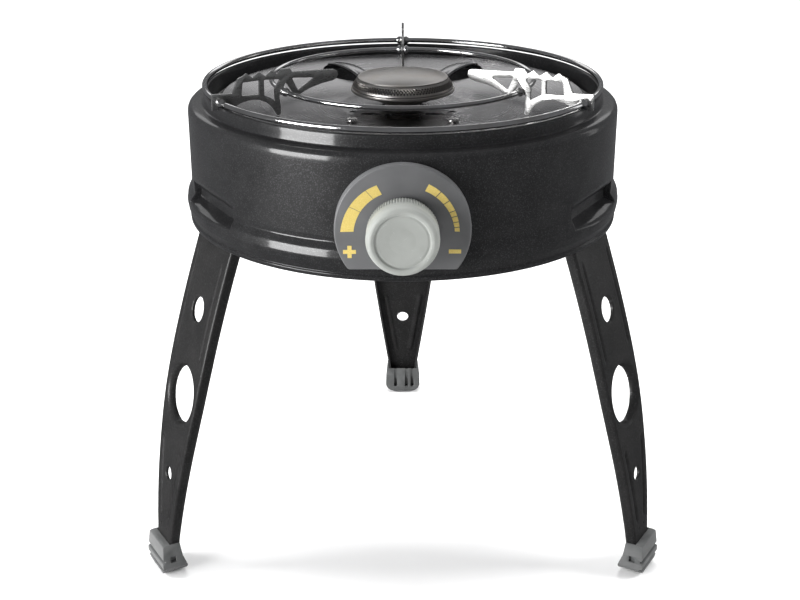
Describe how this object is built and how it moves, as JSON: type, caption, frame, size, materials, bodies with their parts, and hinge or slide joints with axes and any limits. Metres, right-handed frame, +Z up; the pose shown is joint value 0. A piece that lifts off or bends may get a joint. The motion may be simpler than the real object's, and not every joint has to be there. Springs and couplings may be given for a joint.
{
  "type": "propane burner stand",
  "caption": "Round low gas burner stand: drum body, domed burner in a bright pan, toothed wire pot rest, front gas knob, fold-under legs.",
  "frame": {"origin": "centre of the bounding box at floor level, 14.25 mm in front of the burner's axis", "axes": "+Z up from the feet, -Y towards the control knob, +X to the right as the knob is faced"},
  "size_m": [0.374, 0.3856, 0.3553],
  "materials": {
    "shell_coat": "semi-gloss charcoal powder coat with a fine metallic fleck",
    "leg_coat": "satin charcoal powder coat",
    "chrome_wire": "bright plated wire",
    "fin_steel": "bright stamped stainless steel",
    "pan_steel": "satin pressed steel",
    "burner_steel": "satin stainless steel, slightly warm",
    "screw_steel": "plain steel screw heads",
    "zinc_steel": "zinc-plated steel",
    "brass": "machined brass",
    "knob_plastic": "light grey moulded plastic",
    "dial_plastic": "dark grey plastic with gold marks",
    "foot_rubber": "mid-grey matt rubber"
  },
  "bodies": {
    "body": {"body_shell": "shell_coat", "reflector_pan": "pan_steel", "burner_strap": "zinc_steel", "burner_base": "burner_steel", "burner_port_band": "burner_steel", "burner_cap": "burner_steel", "mixing_tube": "zinc_steel", "gas_jet": "brass", "valve_body": "brass", "valve_nut": "zinc_steel", "inlet_pipe": "brass", "inlet_nut": "brass", "hose_tail": "brass", "dial_plate": "dial_plastic", "dial_screw_left": "zinc_steel", "dial_screw_right": "zinc_steel", "pan_post_front_left": "zinc_steel", "pan_post_front_right": "zinc_steel", "pan_post_back": "zinc_steel", "pan_screw_front_left": "screw_steel", "pan_screw_front_right": "screw_steel", "pan_screw_back": "screw_steel", "leg_bracket_front_left": "zinc_steel", "leg_bracket_front_right": "zinc_steel", "leg_bracket_back": "zinc_steel", "hinge_pin_front_left": "zinc_steel", "hinge_pin_front_right": "zinc_steel", "hinge_pin_back": "zinc_steel"},
    "knob": {"control_knob": "knob_plastic", "valve_spindle": "zinc_steel"},
    "pot_stand": {"outer_ring": "chrome_wire", "inner_ring": "chrome_wire", "pot_fin_front_left": "fin_steel", "pot_fin_front_right": "fin_steel", "pot_fin_back": "fin_steel"},
    "front_left_leg": {"leg_front_left": "leg_coat", "foot_front_left": "foot_rubber"},
    "front_right_leg": {"leg_front_right": "leg_coat", "foot_front_right": "foot_rubber"},
    "back_leg": {"leg_back": "leg_coat", "foot_back": "foot_rubber"}
  },
  "joints": [
    {"name": "front_left_leg_fold", "type": "hinge", "parent": "body", "child": "front_left_leg", "pos_m": [-0.12204, -0.08471, 0.25068], "axis": [0.5, -0.866, 0], "range_deg": [0, 108]},
    {"name": "front_right_leg_fold", "type": "hinge", "parent": "body", "child": "front_right_leg", "pos_m": [0.12204, -0.08471, 0.25068], "axis": [0.5, 0.866, 0], "range_deg": [0, 102]},
    {"name": "back_leg_fold", "type": "hinge", "parent": "body", "child": "back_leg", "pos_m": [0, 0.12667, 0.25068], "axis": [-1, 0, 0], "range_deg": [0, 96]},
    {"name": "knob_turn", "type": "hinge", "parent": "body", "child": "knob", "pos_m": [0, -0.18, 0.279], "axis": [0, -1, 0], "range_deg": [0, 270]},
    {"name": "pot_stand_lift", "type": "slide", "parent": "body", "child": "pot_stand", "axis": [0, 0, 1], "range_m": [0, 0.08]}
  ]
}
